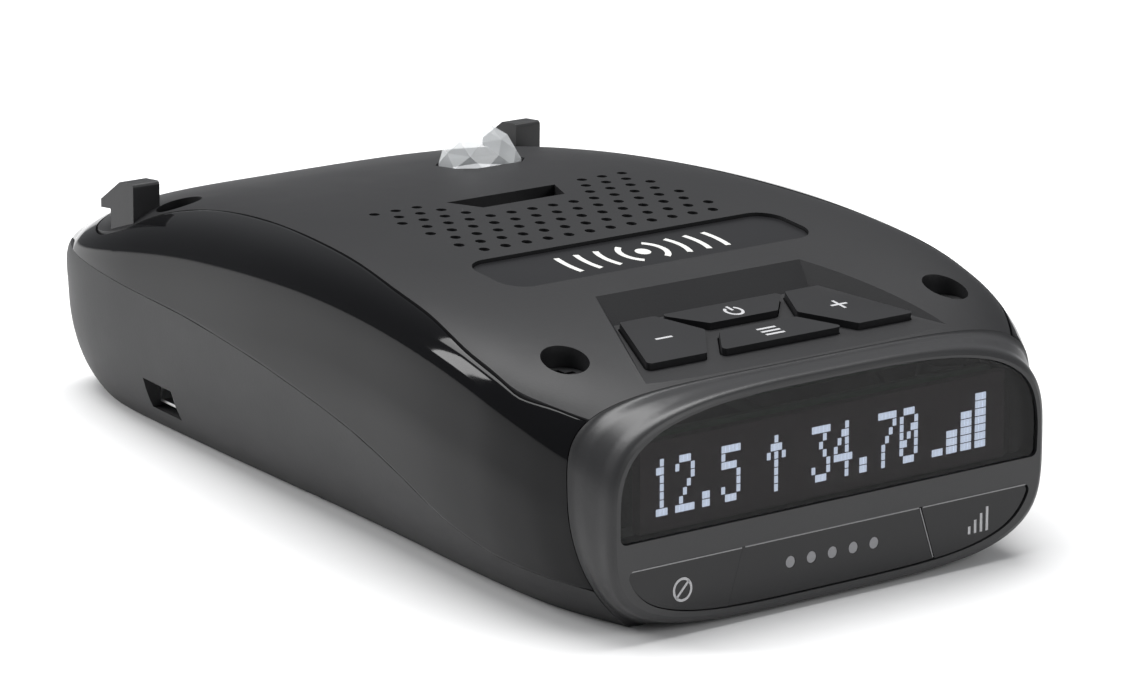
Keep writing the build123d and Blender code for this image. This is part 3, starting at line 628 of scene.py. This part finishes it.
class DETECTOR_OT_edge_lines(bpy.types.Operator):
    """Lays painted highlights, pale strips standing in for light caught along the top and the slanted joint
    of the front strip
    """

    bl_idname = "detector.edge_lines"
    bl_label = "Painted strip highlights"

    def execute(self, context):
        # each strip is a painted highlight: pale grey where light catches the edge
        for name, ends, depth, body in (
                ("left_button_edge_highlight", ((-32.4, 9.14), (-14.7, 9.14)), 0.08, "mute_button"),
                ("strip_edge_highlight", ((-14.1, 9.14), (14.1, 9.14)), 0.0, "body"),
                ("strip_side_edge_highlight", ((14.3, 9.1), (16.6, 2.4)), 0.0, "body"),
                ("right_button_edge_highlight", ((14.7, 9.14), (32.4, 9.14)), 0.08, "city_button")):
            path = np.linspace(ends[0], ends[1], 9)
            verts, faces = strokes([(path, 0.16, False)], on_strip, depth, 0.05)
            outward(piece(name, verts, faces, made["edge_light"], body))
        return {"FINISHED"}


def studio_light(name, place, aim, width, height, watts, colour=(1, 1, 1)):
    """A rectangular soft light that looks from one place at another."""
    data = bpy.data.lights.new(name, "AREA")
    data.shape, data.size, data.size_y = "RECTANGLE", width, height
    data.energy, data.color = watts, colour
    obj = bpy.data.objects.new(name, data)
    bpy.context.scene.collection.objects.link(obj)
    towards = np.array(aim, float) - np.array(place, float)
    back = -towards / np.linalg.norm(towards)
    side = np.cross((0, 0, 1), back)
    side = side / np.linalg.norm(side) if np.linalg.norm(side) > 1e-6 else np.array((1.0, 0, 0))
    up = np.cross(back, side)
    matrix = Matrix.Identity(4)
    for k in range(3):
        matrix[k][0], matrix[k][1], matrix[k][2], matrix[k][3] = side[k], up[k], back[k], place[k]
    obj.matrix_world = matrix


class DETECTOR_OT_studio(bpy.types.Operator):
    """Lays the pale floor, hangs the soft lights and places the camera"""

    bl_idname = "detector.studio"
    bl_label = "Floor, lights and camera"

    def execute(self, context):
        radius, turn = np.meshgrid(np.linspace(0.0, 1, 24) ** 2 * 4,
                                   np.linspace(0, 2 * np.pi, 73)[:-1], indexing="ij")
        radius[0] = 0.001
        points = np.stack([radius * np.cos(turn), radius * np.sin(turn), radius * 0 - 0.0001], -1)
        mesh = bpy.data.meshes.new("floor")
        faces = [list(map(int, q)) for q in grid_faces(24, 72, wrap=True)] + [list(range(72))]
        mesh.from_pydata(points.reshape(-1, 3).tolist(), [], faces)
        mesh.materials.append(finish_of("pale floor", (0.82, 0.82, 0.82), 0.55, 1.5, 0.01, shade_by=0.01))
        floor = bpy.data.objects.new("floor", mesh)
        context.scene.collection.objects.link(floor)
        world = bpy.data.worlds.new("studio")
        context.scene.world = world
        world.use_nodes = True
        world.node_tree.nodes["Background"].inputs["Color"].default_value = (0.9, 0.92, 0.95, 1)
        world.node_tree.nodes["Background"].inputs["Strength"].default_value = 0.28
        context.scene.view_settings.view_transform = "Standard"
        studio_light("overhead", (0.1, 0.35, 1.5), (0, 0, 0), 1.6, 1.0, 40)
        studio_light("left_strip", (-1.1, 0.8, 1.0), (0, 0, 0.02), 0.35, 0.9, 14)
        studio_light("front_fill", (0.5, -1.3, 0.8), (0, 0, 0.02), 0.9, 0.6, 6)
        data = bpy.data.cameras.new("camera")
        data.sensor_fit, data.sensor_width, data.lens = "HORIZONTAL", 36, 177.97
        data.clip_start, data.clip_end = 0.01, 50
        camera = bpy.data.objects.new("camera", data)
        context.scene.collection.objects.link(camera)
        place = (-0.4367, -0.5369, 0.2295)
        side, up, ahead = (0.7801, -0.6238, 0.0480), (0.1488, 0.2595, 0.9542), (0.6077, 0.7372, -0.2953)
        matrix = Matrix.Identity(4)
        for k in range(3):
            matrix[k][0], matrix[k][1], matrix[k][2], matrix[k][3] = side[k], up[k], -ahead[k], place[k]
        camera.matrix_world = matrix
        context.scene.camera = camera
        return {"FINISHED"}


OPERATORS = (DETECTOR_OT_finishes, DETECTOR_OT_gloss_shell, DETECTOR_OT_key_marks, DETECTOR_OT_front_marks,
             DETECTOR_OT_display, DETECTOR_OT_badge, DETECTOR_OT_crystal, DETECTOR_OT_edge_lines,
             DETECTOR_OT_studio)


class DETECTOR_PT_panel(bpy.types.Panel):
    """Lists the detector's building steps and settings"""

    bl_idname = "DETECTOR_PT_panel"
    bl_label = "Radar detector"
    bl_space_type = "VIEW_3D"
    bl_region_type = "UI"
    bl_category = "Detector"

    def draw(self, context):
        for settings in (context.scene.detector_looks, context.scene.detector_sizes):
            for key in settings.__annotations__:
                self.layout.prop(settings, key)
        for operator in OPERATORS:
            self.layout.operator(operator.bl_idname)


CLASSES = (DetectorLooks, DetectorSizes, *OPERATORS, DETECTOR_PT_panel)


def register():
    for cls in CLASSES:
        bpy.utils.register_class(cls)
    bpy.types.Scene.detector_looks = bpy.props.PointerProperty(type=DetectorLooks)
    bpy.types.Scene.detector_sizes = bpy.props.PointerProperty(type=DetectorSizes)


def unregister():
    del bpy.types.Scene.detector_looks
    del bpy.types.Scene.detector_sizes
    for cls in reversed(CLASSES):
        bpy.utils.unregister_class(cls)


def main():
    register()
    bpy.ops.detector.finishes()
    bpy.ops.detector.gloss_shell()
    bpy.ops.detector.key_marks()
    bpy.ops.detector.front_marks()
    bpy.ops.detector.display()
    bpy.ops.detector.badge()
    bpy.ops.detector.crystal()
    bpy.ops.detector.edge_lines()
    bpy.ops.detector.studio()


if __name__ == "__main__":
    main()
